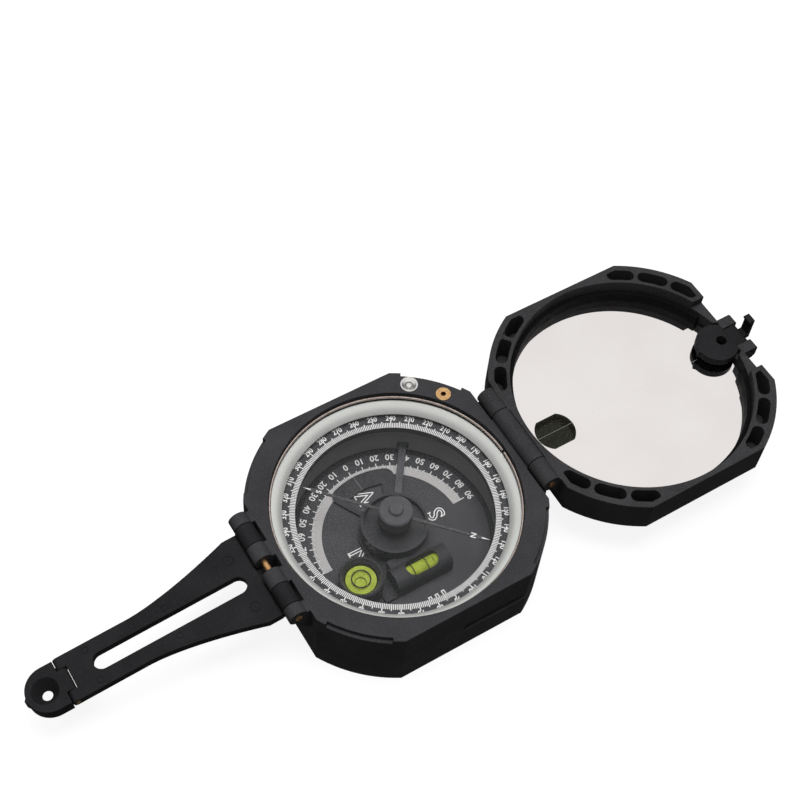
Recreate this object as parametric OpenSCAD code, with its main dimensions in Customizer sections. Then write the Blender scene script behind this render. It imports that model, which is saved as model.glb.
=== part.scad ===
// Geology compass with a clinometer, two hinged sights and a mirror lid.
// The origin is on the dial axis at the underside of the case. +Z is up,
// +Y points to the long sight arm and -Y to the lid. The lid and the arm lie open.

/* [Case] */
// Width of the case across its two side flats
case_w = 70; // [68:0.5:72]
// Depth of the case from hinge face to hinge face
case_d = 69.4; // [68.5:0.1:70]
// Radius of the case corners about the dial axis
case_r = 39.6; // [39.2:0.1:41]
// Height of the case without its hinges
case_h = 22.5; // [22.2:0.1:22.6]
// Height of the dial floor inside the case
floor_z = 2.5; // [2.3:0.1:2.5]
// Radius of the bowl under the graduated ring
bowl_r = 27.45; // [27.4:0.01:27.5]

/* [Lid] */
// Thickness of the lid
lid_t = 10.4; // [10.3:0.1:12]
// Radius of the hollow in the lid
lid_bowl_r = 33.6; // [33.2:0.1:33.7]
// Distance of the lid hinge axis from the dial axis
lid_axis_y = 37.6; // [37.5:0.1:37.8]
// Height of the lid hinge axis
lid_axis_z = 23; // [22.9:0.05:23.1]

/* [Long sight] */
// Distance of the arm hinge axis from the dial axis
arm_axis_y = 38; // [37.9:0.1:38.2]
// Height of the arm hinge axis
arm_axis_z = 21.5; // [21.4:0.05:21.6]
// How far the open arm hangs below level, in degrees
arm_droop = 4.5; // [0:0.5:5]
// Length of the arm from its hinge axis to the axis of the tip sight
arm_len = 55.7; // [50:0.1:58]
// Half the width of the arm at its hinge
arm_root = 12.7; // [12.6:0.1:12.9]
// Half the width of the arm at its tip
arm_tip = 6.4; // [6:0.1:7]

/* [Dial] */
// Inner radius of the graduated ring
ring_in = 26.3; // [26:0.1:26.5]
// Outer radius of the part of the ring that carries the figures
ring_out = 30.9; // [30.5:0.1:31.2]
// Top of the graduated ring
ring_z = 15.7; // [15.6:0.05:15.8]
// Half the length of the needle
needle_len = 25.8; // [22:0.1:25.9]
// Direction of the north end of the needle, in degrees from +X
needle_dir = 222.6; // [0:0.1:360]

/* [Hidden] */
$fn = 96;
eps = 0.01;

// Hinge barrels
knuckle_r = 2.6;
hinge_pin_r = 0.95;
hinge_half = 16.1;
knuckle_gap = 0.2;
lid_case_half = 8.6;
arm_gap_half = 1.85;
arm_in = 6.6;
arm_out = 12.6;

// Layers of the dial
plate_t = 0.5;
plate_r = 26;
plate_z = floor_z + plate_t;
ledge_z = 14.6;
bore_r = 33.2;
bezel_z = 15.9;
bezel_top = 19.5;
gasket_t = 0.2;
glass_t = 0.7;
glass_r = 33.1;
glass_z = bezel_top + gasket_t;
wire_r = 0.4;
wire_ring_r = 32.95;
wire_z = glass_z + glass_t + wire_r;

// Gear on the graduated ring and its pinion
ring_teeth = 90;
pinion_teeth = 8;
gear_dist = 35.5;
adjust_dir = -51.76;
gear_m = 2 * gear_dist / (ring_teeth + pinion_teeth);
ring_pitch_r = gear_m * ring_teeth / 2;
pinion_pitch_r = gear_m * pinion_teeth / 2;
tooth_half = 0.2 * PI * gear_m;
gear_t = 0.8;
adjust_x = gear_dist * cos(adjust_dir);
adjust_y = gear_dist * sin(adjust_dir);
screw_head_r = 2.05;
screw_r = 1.2;

// Needle lift: pin, lever and sleeve
lift_dir = -36.3;
lift_r = 36.2;
lift_x = lift_r * cos(lift_dir);
lift_y = lift_r * sin(lift_dir);
lift_pin_r = 1.1;
bush_r = 2.4;
bush_z = 18.2;
spring_z = 8.5;
fulcrum_r = 28.5;
lever_z = 4.55;
lever_t = 0.7;
lever_w = 2;

// Clinometer
frame_z = 3.3;
frame_t = 0.7;
cup_z = 8;
cup_top = 10.6;
disc_z = 7.5;
disc_r = 9.1;
cup_r = 9.1;
vernier_r = 20.6;
vernier_from = -31.5;
vernier_to = 28.5;
round_x = -9.1;
round_y = 15.6;
round_r = 6;
round_top = 10;
tube_x = -13.2;
tube_z = 6.6;
tube_r = 3.3;
tube_half = 8.3;
shaft_r = 2.5;
lever_top = 1.15;
recess_r = 14.2;
recess_z = 1.3;

// Needle
blade_z = 15.1;
blade_t = 0.3;
hub_r = 4.6;
hub_z = 12.9;
hub_top = 17.3;
core_r = 2.1;
jewel_z = 15.4;
jewel_r = 1;
pivot_z = 15.8;

// Lid, laid open about its hinge
lid_y = -2 * lid_axis_y;
lid_gap = 0.25;
rim_z = 2 * lid_axis_z - case_h - lid_gap;
lid_z = rim_z - lid_t;
lid_floor = 2.45;
mirror_z = lid_z + lid_floor;
mirror_t = 1;
mirror_r = 32.8;
window_y = lid_y + 24.5;
window_r = 5.7;
window_w = 9.5;
recess_half = 13.3;
recess_floor = 20.5;
label_w = 38.5;
label_d = 35;
label_t = 0.4;

// Small sight at the far end of the lid
sight_axis_y = -113;
sight_axis_z = 18.3;
sight_z = 18.1;
sight_t = 2.4;
sight_r = 6.1;
sight_y = -105.4;
sight_hole_y = -106.8;
tongue_half = 3.1;
lug_half = 6.4;

// Arm, with heights taken from its hinge axis
arm_top = -1.25;
arm_t = 2.4;
peep_t = 3.8;
peep_r = 6.1;
peep_y = 4.6;
peep_hole_y = 5.8;
tip_r = 1.2;
slot_half = 2.35;

// Outline shared by the case and the lid: a circle with four sides cut flat
module outline(z0, h) {
    intersection() {
        translate([0, 0, z0]) cylinder(r = case_r, h = h, $fn = 180);
        translate([-case_w / 2, -case_d / 2, z0]) cube([case_w, case_d, h]);
    }
}

// Bar along X with its ends at x0 and x1, centred on y, z
module x_rod(r, x0, x1, y = 0, z = 0) {
    translate([x0, y, z]) rotate([0, 90, 0]) cylinder(r = r, h = x1 - x0);
}

// Prism along X from x0 to x1 whose section is a list of [y, z] points
module x_prism(points, x0, x1) {
    translate([x0, 0, 0]) rotate([90, 0, 90]) linear_extrude(x1 - x0) polygon(points);
}

// Flat plate with rounded corners, its low corner of the box at [-w / 2, -d / 2, 0]
module rounded_plate(w, d, h, r) {
    translate([-w / 2 + r, -d / 2, 0]) cube([w - 2 * r, d, h]);
    translate([-w / 2, -d / 2 + r, 0]) cube([w, d - 2 * r, h]);
    for (sx = [-1, 1], sy = [-1, 1])
        translate([sx * (w / 2 - r), sy * (d / 2 - r), 0]) cylinder(r = r, h = h, $fn = 32);
}

// Wedge between two directions, tall enough to cut any part of the dial
module wedge(a0, a1, r, z0, h) {
    steps = ceil((a1 - a0) / 15);
    translate([0, 0, z0]) linear_extrude(h)
        polygon(concat([[0, 0]],
            [for (i = [0:steps]) let (a = a0 + (a1 - a0) * i / steps) r * [cos(a), sin(a)]]));
}

module tube(r_in, r_out, z0, h) {
    translate([0, 0, z0]) difference() {
        cylinder(r = r_out, h = h);
        translate([0, 0, -eps]) cylinder(r = r_in, h = h + 2 * eps);
    }
}

// Spur gear outline with straight-sided teeth; the first tooth points along +X
module gear_outline(teeth, pitch_r, add, ded) {
    root_r = pitch_r - ded;
    tip_r = pitch_r + add;
    slope = 0.42;
    flank = function (a, r, side)
        let (w = side * (tooth_half + slope * (pitch_r - r)))
        [r * cos(a) - w * sin(a), r * sin(a) + w * cos(a)];
    polygon([for (i = [0:teeth - 1]) let (a = 360 * i / teeth)
        each [flank(a, root_r, -1), flank(a, tip_r, -1), flank(a, tip_r, 1), flank(a, root_r, 1)]]);
}

// Turns its children down by the droop of the open arm; inside, the hinge axis is the origin
module arm_frame() {
    translate([0, arm_axis_y, arm_axis_z]) rotate([-arm_droop, 0, 0]) children();
}

// ---------------------------------------------------------------- case

// Thumb reliefs along the top of the four corners
module corner_reliefs() {
    relief_depth = 0.95;
    relief_h = 1.5;
    for (q = [0:3]) intersection() {
        tube(case_r - relief_depth, case_r + 1, case_h - relief_h, relief_h + 1);
        wedge(q * 90 + 45 - 12.5, q * 90 + 45 + 12.5, 60, 0, 40);
    }
}

// Slots in the two side flats that a tripod head or a strap clip slides into
module side_slots() {
    slot_depth = 2.2;
    for (s = [-1, 1]) translate([s * (case_w / 2 - slot_depth), 0, 0])
        translate([s > 0 ? 0 : -5, -30, 8.8]) cube([5, 30.3, 3.2]);
}

module case_body() color("#2a2a2c") difference() {
    union() {
        outline(0, case_h);
        // knuckles for the long sight, each with its gusset
        for (x = [[-hinge_half, -arm_out - knuckle_gap], [-arm_in + knuckle_gap, -arm_gap_half],
                  [arm_gap_half, arm_in - knuckle_gap], [arm_out + knuckle_gap, hinge_half]]) {
            x_rod(knuckle_r, x[0], x[1], arm_axis_y, arm_axis_z);
            translate([0, arm_axis_y, arm_axis_z])
                x_prism([[-4, case_h - arm_axis_z], [-4, -9.5], [0.9, -2.4], [0, 0],
                         [-0.8, case_h - arm_axis_z]], x[0], x[1]);
        }
        // long middle knuckle for the lid
        x_rod(knuckle_r, -lid_case_half, lid_case_half, -lid_axis_y, lid_axis_z);
        translate([0, -lid_axis_y, lid_axis_z])
            x_prism([[3.6, case_h - lid_axis_z], [3.6, -11], [-0.9, -2.4], [0, 0],
                     [0.8, case_h - lid_axis_z]], -lid_case_half, lid_case_half);
        // ledge under the outer knuckles of the lid
        translate([-hinge_half, -36.2, 17]) cube([2 * hinge_half, 2.5, 3.6]);
    }
    translate([0, 0, floor_z]) cylinder(r = bowl_r, h = case_h, $fn = 180);
    translate([0, 0, ledge_z]) cylinder(r = bore_r, h = case_h, $fn = 180);
    // groove for the retaining wire
    translate([0, 0, wire_z]) rotate_extrude($fn = 180)
        translate([wire_ring_r, 0]) circle(r = wire_r + 0.05, $fn = 24);
    // underside: recess for the clinometer lever, and the seat of its bush
    translate([0, 0, -1]) cylinder(r = recess_r, h = recess_z + 1);
    translate([0, 0, -1]) cylinder(r = 4, h = 6);
    // adjusting screw: head, shaft and the pocket of its pinion
    translate([adjust_x, adjust_y, 0]) {
        translate([0, 0, 20.9]) cylinder(r = screw_head_r + 0.05, h = 3);
        translate([0, 0, 13]) cylinder(r = screw_r + 0.05, h = 9);
        translate([0, 0, ledge_z]) cylinder(r = pinion_pitch_r + 0.6, h = 2);
    }
    // lift pin: bush seat, spring chamber and lower guide
    translate([lift_x, lift_y, 0]) {
        translate([0, 0, bush_z]) cylinder(r = bush_r, h = 6);
        translate([0, 0, spring_z]) cylinder(r = bush_r - 0.1, h = bush_z - spring_z);
        translate([0, 0, lever_z]) cylinder(r = lift_pin_r + 0.06, h = 6);
    }
    // channel and axle holes of the lift lever
    rotate([0, 0, lift_dir]) {
        translate([bowl_r - 1, -1.6, plate_z]) cube([38.3 - bowl_r + 1, 3.2, 3.8]);
        translate([fulcrum_r, 3, lever_z]) rotate([90, 0, 0]) cylinder(r = 0.6, h = 6, $fn = 32);
    }
    corner_reliefs();
    side_slots();
    x_rod(hinge_pin_r, -20, hinge_half - 0.6, arm_axis_y, arm_axis_z);
    x_rod(hinge_pin_r, -20, 20, -lid_axis_y, lid_axis_z);
}

module dial_plate() color("#4b4b4e") tube(4.4, plate_r, floor_z, plate_t);

module bezel_ring() color("#c9cdc9") {
    rotate_extrude($fn = 180)
        polygon([[29.75, 17.1], [30.3, 16.6], [31, bezel_z], [bore_r, bezel_z], [bore_r, bezel_top],
                 [32.4, bezel_top]]);
    // pointer against which the graduated ring is read
    rotate([0, 0, 92.6]) translate([0, 0, 16.9]) linear_extrude(0.3)
        polygon([[30.5, -0.75], [30.5, 0.75], [28.2, 0]]);
}

module glass_gasket() color("#202020") tube(32.7, bore_r - 0.1, bezel_top, gasket_t);

module glass_cover() color("lightcyan", 0.2)
    translate([0, 0, glass_z]) cylinder(r = glass_r, h = glass_t, $fn = 180);

// Round spring wire, open at one place
module retaining_wire() color("#d9c8bd") difference() {
    translate([0, 0, wire_z]) rotate_extrude($fn = 180)
        translate([wire_ring_r, 0]) circle(r = wire_r, $fn = 24);
    translate([-0.9, -wire_ring_r - 1, wire_z - 1]) cube([0.8, 2, 2]);
}

module lift_pin_bush() color("silver") translate([lift_x, lift_y, 0]) difference() {
    translate([0, 0, bush_z]) cylinder(r = bush_r, h = case_h + 0.1 - bush_z, $fn = 48);
    translate([0, 0, bush_z - 1]) cylinder(r = lift_pin_r + 0.05, h = 9, $fn = 48);
    // dished mouth
    translate([0, 0, case_h - 0.35]) cylinder(r1 = lift_pin_r + 0.05, r2 = bush_r - 0.3, h = 0.5, $fn = 48);
}

// Wound wire spring that pushes the lift pin up
module lift_spring() color("gray") {
    turns = 6;
    ring_steps = 18;
    sides = 6;
    coil_r = 1.6;
    wire = 0.2;
    z0 = spring_z + 0.3;
    rise = 8.1;
    count = turns * ring_steps;
    points = [for (i = [0:count], k = [0:sides - 1])
        let (a = 360 * i / ring_steps, b = 360 * k / sides, r = coil_r + wire * cos(b))
        [lift_x + r * cos(a), lift_y + r * sin(a), z0 + rise * i / count + wire * sin(b)]];
    sides_faces = [for (i = [0:count - 1], k = [0:sides - 1])
        let (n = (k + 1) % sides) [i * sides + k, (i + 1) * sides + k, (i + 1) * sides + n, i * sides + n]];
    polyhedron(points, concat([[for (k = [0:sides - 1]) k]],
        sides_faces, [[for (k = [0:sides - 1]) count * sides + sides - 1 - k]]));
}

module lever_axle() color("silver") rotate([0, 0, lift_dir])
    translate([fulcrum_r, 2.9, lever_z]) rotate([90, 0, 0]) cylinder(r = 0.6, h = 5.8, $fn = 32);

module clinometer_bush() color("goldenrod") {
    tube(shaft_r + 0.05, 4, recess_z, plate_z - recess_z);
    tube(shaft_r + 0.05, 4.35, floor_z, plate_z - floor_z);
}

// Hinge pin with a slot across its open end
module hinge_pin(y, z, x1) color("goldenrod") difference() {
    x_rod(hinge_pin_r, -hinge_half - 0.2, x1, y, z);
    translate([-hinge_half - 1, y - 0.2, z - 0.65]) cube([1.5, 0.4, 1.3]);
}

module arm_hinge_pin() hinge_pin(arm_axis_y, arm_axis_z, hinge_half - 0.6);

module lid_hinge_pin() hinge_pin(-lid_axis_y, lid_axis_z, hinge_half - 0.8);

// ---------------------------------------------------------------- graduated ring and its drive

module graduated_ring() color("#1d1d1f") {
    tube(ring_in, bowl_r - 0.05, ledge_z - 1, 1.5);
    tube(ring_in, ring_out, ledge_z + 0.3, ring_z - ledge_z - 0.3);
    translate([0, 0, ledge_z + 0.3]) linear_extrude(gear_t) difference() {
        rotate(adjust_dir + 180 / ring_teeth) gear_outline(ring_teeth, ring_pitch_r, 0.35, 0.62);
        circle(r = ring_out - 1);
    }
}

module adjuster_pinion() color("goldenrod") translate([adjust_x, adjust_y, ledge_z + 0.3])
    linear_extrude(gear_t) difference() {
        rotate(adjust_dir + 180) gear_outline(pinion_teeth, pinion_pitch_r, 0.35, 0.62);
        circle(r = screw_r);
    }

module adjuster_screw() color("goldenrod") translate([adjust_x, adjust_y, 0]) difference() {
    union() {
        translate([0, 0, 13.2]) cylinder(r = screw_r, h = 8);
        translate([0, 0, 21]) cylinder(r = screw_head_r, h = 1.6, $fn = 48);
    }
    // driving socket
    translate([0, 0, 21.8]) cylinder(r = 0.8, h = 2, $fn = 6);
}

// ---------------------------------------------------------------- needle lift

module lift_pin() color("silver") translate([lift_x, lift_y, 0]) {
    foot_z = lever_z + lever_t / 2 + 0.1;
    translate([0, 0, foot_z]) cylinder(r1 = 0.6, r2 = lift_pin_r, h = 0.5, $fn = 48);
    translate([0, 0, foot_z + 0.5]) cylinder(r = lift_pin_r, h = case_h - 0.6 - foot_z, $fn = 48);
    // domed head
    translate([0, 0, case_h - 0.1]) intersection() {
        scale(1) translate([0, 0, -1.03]) sphere(r = 1.51, $fn = 48);
        cylinder(r = lift_pin_r, h = 1, $fn = 48);
    }
    // collar that the spring pushes on
    translate([0, 0, bush_z - 1]) cylinder(r = bush_r - 0.2, h = 0.9, $fn = 48);
}

module lift_lever() color("#55555a") rotate([0, 0, lift_dir]) difference() {
    union() {
        translate([2.6, -lever_w / 2, lever_z - lever_t / 2])
            cube([lift_r + 1.2 - 2.6, lever_w, lever_t]);
        // two tines astride the pivot
        for (s = [-1, 1]) translate([0.6, s * 1.65 - 0.5, lever_z - lever_t / 2]) cube([2.2, 1, lever_t]);
        translate([2.2, -2.15, lever_z - lever_t / 2]) cube([1.2, 4.3, lever_t]);
        translate([fulcrum_r, lever_w / 2, lever_z]) rotate([90, 0, 0])
            cylinder(r = 1.15, h = lever_w, $fn = 48);
    }
    translate([fulcrum_r, 3, lever_z]) rotate([90, 0, 0]) cylinder(r = 0.65, h = 6, $fn = 32);
}

module lift_sleeve() color("silver") {
    sleeve_z = 5.1;
    tube(0.88, 1.5, sleeve_z, hub_z - 0.15 - sleeve_z);
    tube(0.88, 2.4, sleeve_z, 0.35);
}

// ---------------------------------------------------------------- needle

module needle_blade() color("#5a5a5e") rotate([0, 0, needle_dir]) translate([0, 0, blade_z])
    linear_extrude(blade_t) difference() {
        union() {
            circle(r = 3.35);
            polygon([[needle_len, 0], [needle_len - 3.2, 0.58], [needle_len - 4.2, 0.34], [2.5, 0.42],
                     [-2.5, 0.42], [-needle_len + 4.2, 0.34], [-needle_len + 3.2, 0.58],
                     [-needle_len, 0], [-needle_len + 3.2, -0.58], [-needle_len + 4.2, -0.34],
                     [-2.5, -0.42], [2.5, -0.42], [needle_len - 4.2, -0.34],
                     [needle_len - 3.2, -0.58]]);
        }
        circle(r = core_r + 0.05);
    }

module needle_hub() color("#333336") difference() {
    union() {
        translate([0, 0, hub_z]) cylinder(r = hub_r, h = hub_top - hub_z - 0.4);
        translate([0, 0, hub_top - 0.4]) cylinder(r1 = hub_r, r2 = hub_r - 0.4, h = 0.4);
        translate([0, 0, hub_top]) cylinder(r1 = 2, r2 = 1.7, h = 0.7);
    }
    // ring-shaped hollow for the magnet and the blade, round a core with the jewel's bore
    tube(core_r, 3.4, hub_z - 1, blade_z + blade_t + 1.05 - hub_z);
    translate([0, 0, hub_z - 1]) cylinder(r = jewel_r, h = jewel_z + 2 - hub_z, $fn = 48);
    // slots that take the blade
    for (a = [needle_dir, needle_dir + 180]) rotate([0, 0, a]) translate([3, -0.52, hub_z - 1])
        cube([2, 1.04, blade_z + blade_t + 1.05 - hub_z]);
}

module needle_magnet() color("dimgray") tube(core_r + 0.05, 3.35, hub_z + 0.5, 1.6);

module needle_jewel() color("firebrick") difference() {
    translate([0, 0, jewel_z]) cylinder(r = jewel_r, h = 1, $fn = 48);
    translate([0, 0, jewel_z - 0.1]) cylinder(r1 = 0.7, r2 = 0.12, h = pivot_z - jewel_z + 0.15, $fn = 48);
}

// ---------------------------------------------------------------- clinometer

// Sector with a corner of the dial axis and its two outer corners rounded
function vernier_outline(r, a0, a1, c) =
    let (d = asin(c / (r - c)), n = 8)
    concat([[0, 0]],
        [for (i = [0:n]) let (b = a0 - 90 + (90 + d) * i / n)
            (r - c) * [cos(a0 + d), sin(a0 + d)] + c * [cos(b), sin(b)]],
        [for (i = [1:n]) let (b = a0 + d + (a1 - a0 - 2 * d) * i / (n + 1)) r * [cos(b), sin(b)]],
        [for (i = [0:n]) let (b = a1 - d + (90 + d) * i / n)
            (r - c) * [cos(a1 - d), sin(a1 - d)] + c * [cos(b), sin(b)]]);

// Window behind the vernier, through which the dial plate shows
module vernier_window() {
    difference() {
        wedge(-19, 22, 15.8 / cos(7.5), frame_z - 1, 3);
        translate([0, 0, frame_z - 2]) cylinder(r = 9.6, h = 5);
    }
}

module clinometer_frame() color("#303033") difference() {
    union() {
        // base plate: hub, vernier sector and the tray under the levels
        translate([0, 0, frame_z]) cylinder(r = 9.6, h = frame_t);
        translate([0, 0, frame_z]) linear_extrude(frame_t)
            polygon(vernier_outline(vernier_r, vernier_from, vernier_to, 2.6));
        translate([tube_x - tube_r, -6, frame_z]) cube([12, 18, frame_t]);
        // damping cup
        tube(cup_r - 0.8, cup_r, cup_z, cup_top - cup_z);
        translate([0, 0, cup_z]) cylinder(r = cup_r, h = 0.8);
        // wall and web that carry the cup, clear of the lift lever
        intersection() {
            tube(cup_r - 2.1, cup_r - 0.5, frame_z, cup_z - frame_z);
            wedge(66, 222, 20, frame_z, 5);
        }
        translate([-12.5, -4.5, frame_z]) cube([5, 11.5, disc_z - 0.2 - frame_z]);
        // round level housing
        translate([round_x, round_y, frame_z]) cylinder(r = round_r, h = round_top - 0.5 - frame_z);
        translate([round_x, round_y, round_top - 0.5]) cylinder(r1 = round_r, r2 = round_r - 0.5, h = 0.5);
        // tube level housing
        translate([tube_x, tube_half, tube_z]) rotate([90, 0, 0]) cylinder(r = tube_r, h = 2 * tube_half);
        translate([tube_x - tube_r, -tube_half, frame_z]) cube([2 * tube_r, 2 * tube_half, tube_z - frame_z]);
    }
    vernier_window();
    translate([0, 0, cup_z - 1]) cylinder(r = 1.7, h = 3);
    translate([0, 0, frame_z - 1]) cylinder(r = 0.8, h = 3);
    // seat of the round vial, flared at its mouth
    translate([round_x, round_y, 5]) cylinder(r = 4.5, h = 8);
    translate([round_x, round_y, 8.6]) cylinder(r1 = 4.5, r2 = 5.3, h = round_top + eps - 8.6);
    // bore of the tube vial and the window over it
    translate([tube_x, tube_half + 1, tube_z]) rotate([90, 0, 0]) cylinder(r = 2.45, h = 2 * tube_half - 0.4);
    translate([tube_x, 0, tube_z + 1]) {
        translate([-2.3, -2.9, 0]) cube([4.6, 4.9, 5]);
        for (y = [-2.9, 2]) translate([0, y, 0]) cylinder(r = 2.3, h = 5);
    }
}

// Copper plate under the cup, with a slot for the wall that carries the cup
module damping_disc() color("#a0603c") difference() {
    translate([0, 0, disc_z]) cylinder(r = disc_r, h = 0.4);
    translate([0, 0, disc_z - 1]) cylinder(r = 1.7, h = 4);
    intersection() {
        tube(cup_r - 2.2, cup_r - 0.4, disc_z - 1, 3);
        wedge(65, 223, 20, disc_z - 1, 3);
    }
}

// Hardened point that carries the needle
module needle_pivot() color("silver") {
    post_top = 13.6;
    translate([0, 0, 2.7]) cylinder(r = 0.8, h = post_top - 2.7, $fn = 48);
    translate([0, 0, post_top]) cylinder(r1 = 0.8, r2 = 0.06, h = pivot_z - post_top, $fn = 48);
}

module clinometer_shaft() color("silver") difference() {
    translate([0, 0, lever_top]) cylinder(r = shaft_r, h = frame_z - lever_top);
    translate([0, 0, 2.7]) cylinder(r = 0.8, h = 1, $fn = 48);
    translate([0, 0, 0]) cylinder(r = 1, h = 2.5, $fn = 48);
}

// Finger lever in the recess under the case
module clinometer_lever() color("#242426") difference() {
    union() {
        translate([0, 0, 0.25]) cylinder(r = 5, h = lever_top - 0.25);
        translate([0, -2, 0.25]) cube([10.5, 4, lever_top - 0.25]);
        translate([10.5, 0, 0.25]) cylinder(r = 2, h = lever_top - 0.25);
    }
    translate([0, 0, -1]) cylinder(r = 1, h = 4, $fn = 48);
    translate([0, 0, 0]) cylinder(r = 2, h = 0.7, $fn = 48);
    // grip ribs cut across the end of the lever
    for (i = [0:3]) translate([8.2 + i, -3, 0]) cube([0.5, 6, 0.45]);
}

module lever_screw() color("goldenrod") difference() {
    union() {
        translate([0, 0, 0.3]) cylinder(r = 1.95, h = 0.4, $fn = 48);
        translate([0, 0, 0.6]) cylinder(r = 1, h = 1.8, $fn = 48);
    }
    translate([-3, -0.25, 0]) cube([6, 0.5, 0.5]);
}

module round_vial() color("palegreen", 0.5) difference() {
    translate([round_x, round_y, 5]) cylinder(r = 4.45, h = 3.6);
    translate([round_x, round_y, 5.6]) cylinder(r = 4.12, h = 2.4);
}

module round_fluid() color("yellowgreen") difference() {
    translate([round_x, round_y, 5.62]) cylinder(r = 4.1, h = 2.36);
    translate([round_x - 0.6, round_y + 0.5, 7.6]) cylinder(r = 1.6, h = 1);
}

module tube_vial() color("palegreen", 0.5) difference() {
    translate([tube_x, 6.6, tube_z]) rotate([90, 0, 0]) cylinder(r = 2.4, h = 13.4);
    translate([tube_x, 5.6, tube_z]) rotate([90, 0, 0]) cylinder(r = 1.95, h = 11.4);
}

module tube_fluid() color("yellowgreen") difference() {
    translate([tube_x, 5.5, tube_z]) rotate([90, 0, 0]) cylinder(r = 1.9, h = 11.2);
    // bubble, off its lines as the case lies
    translate([tube_x, -0.6, tube_z + 2.2]) rotate([90, 0, 0]) cylinder(r = 1.1, h = 3.4);
}

module tube_plug() color("#1a1a1a")
    translate([tube_x, tube_half, tube_z]) rotate([90, 0, 0]) cylinder(r = 2.45, h = 1.5);

// ---------------------------------------------------------------- long sight

// Half width of the arm at a distance from its hinge: a waist that runs out parallel
function arm_half(y) = let (t = (y - 6.5) / 29.5)
    arm_tip + (arm_root - arm_tip) * (t <= 0 ? 1 : t >= 1 ? 0 : pow(1 - t, 1.5));

module arm_plate() {
    first = 2.7;
    ys = [first, for (i = [0:12]) 6.5 + 29.5 * i / 12, arm_len];
    right = [for (y = ys) [arm_half(y), y]];
    left = [for (i = [len(ys) - 1:-1:0]) [-arm_half(ys[i]), ys[i]]];
    translate([0, 0, arm_top - arm_t]) linear_extrude(arm_t) polygon(concat(right, left));
}

module long_sight_arm() color("#303032") arm_frame() difference() {
    union() {
        arm_plate();
        // lip under the middle knuckles of the case
        x_prism([[0.8, -3], [2.5, -3], [2.8, arm_top - 0.3], [3.2, arm_top - 0.3],
                 [3.2, arm_top - arm_t], [0.8, arm_top - arm_t]], -arm_in - 0.1, arm_in + 0.1);
        // rounded end that holds the pin of the tip sight
        x_rod(tip_r, -arm_tip, arm_tip, arm_len, arm_top - arm_t / 2);
        for (s = [-1, 1]) {
            x0 = s > 0 ? arm_in : -arm_out;
            x_rod(knuckle_r, x0, x0 + arm_out - arm_in);
            x_prism([[0, 0], [2.55, 0], [2.7, arm_top], [3.6, arm_top], [3.6, arm_top - arm_t],
                     [1.6, arm_top - arm_t], [0, -knuckle_r + 0.1]], x0, x0 + arm_out - arm_in);
        }
    }
    // sighting slot
    translate([0, 0, arm_top - arm_t - 1]) {
        translate([-slot_half, 8.6, 0]) cube([2 * slot_half, 37.6, 5]);
        for (y = [8.6, 46.2]) translate([0, y, 0]) cylinder(r = slot_half, h = 5);
    }
    // notch for the tongue of the tip sight
    translate([-tongue_half - 0.1, arm_len - 1.3, arm_top - arm_t - 1])
        cube([2 * tongue_half + 0.2, 5, 5]);
    // mould marks
    for (m = [[7.3, 7.5, 1.4], [4.3, 27, 0.9], [4.4, 48.8, 0.9]], s = [-1, 1])
        translate([s * m[0], m[1], arm_top - 0.12]) difference() {
            cylinder(r = m[2], h = 1, $fn = 32);
            translate([0, 0, -1]) cylinder(r = m[2] - 0.18, h = 3, $fn = 32);
        }
    x_rod(hinge_pin_r + 0.05, -20, 20);
    x_rod(0.6, -20, 20, arm_len, arm_top - arm_t / 2);
}

module tip_hinge_pin() color("goldenrod") arm_frame()
    x_rod(0.6, -arm_tip - 0.02, arm_tip - 0.2, arm_len, arm_top - arm_t / 2);

module peep_sight() color("#303032") arm_frame() translate([0, arm_len, arm_top]) difference() {
    union() {
        intersection() {
            translate([0, peep_y, -peep_t]) cylinder(r = peep_r, h = peep_t);
            translate([-10, 1.35, -peep_t - 1]) cube([20, 20, 9]);
        }
        translate([-peep_r, 1.35, -peep_t]) cube([2 * peep_r, peep_y - 1.35, peep_t]);
        // lip that reaches under the end of the arm
        translate([-5.2, 0.3, -peep_t]) cube([10.4, 1.3, peep_t - arm_t - 0.15]);
        // small point that marks the sight line
        translate([0, 0, -peep_t]) linear_extrude(peep_t)
            polygon([[-1, peep_y + peep_r - 0.2], [1, peep_y + peep_r - 0.2], [0, peep_y + peep_r + 0.5]]);
        // tongue
        translate([-tongue_half + 0.05, 0, -arm_t]) cube([2 * tongue_half - 0.1, 2, arm_t]);
        x_rod(tip_r, -tongue_half + 0.05, tongue_half - 0.05, 0, -arm_t / 2);
    }
    // countersunk sighting hole
    translate([0, peep_hole_y, -peep_t - 1]) cylinder(r = 1.35, h = 9);
    translate([0, peep_hole_y, -peep_t + 0.6]) cylinder(r1 = 1.35, r2 = 3.5, h = peep_t - 0.6 + eps);
    x_rod(0.65, -20, 20, 0, -arm_t / 2);
}

// ---------------------------------------------------------------- lid

// Outline of a curved pocket between two directions, with round ends
module rim_pocket(a0, a1) {
    mid = 36.2;
    half = 1.7;
    arc = function (r, from, to) [for (i = [0:6]) let (a = from + (to - from) * i / 6) r * [cos(a), sin(a)]];
    cap = function (a, from) [for (i = [1:7]) let (b = from + 180 * i / 8)
        mid * [cos(a), sin(a)] + half * [cos(b), sin(b)]];
    polygon(concat(arc(mid + half, a0, a1), cap(a1, a1), arc(mid - half, a1, a0), cap(a0, a0 + 180)));
}

module rim_pockets() {
    wall = 1.5;
    intersection() {
        translate([-case_w / 2 + wall, -case_d / 2 + wall, 0])
            cube([case_w - 2 * wall, case_d - 2 * wall, 40]);
        for (q = [0:3]) rotate([0, 0, q * 90 + 45]) translate([0, 0, mirror_z - 0.5]) linear_extrude(12) {
            rim_pocket(-4.2, 4.2);
            rim_pocket(11.2, 18.3);
            rim_pocket(-18.3, -11.2);
        }
    }
}

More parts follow.
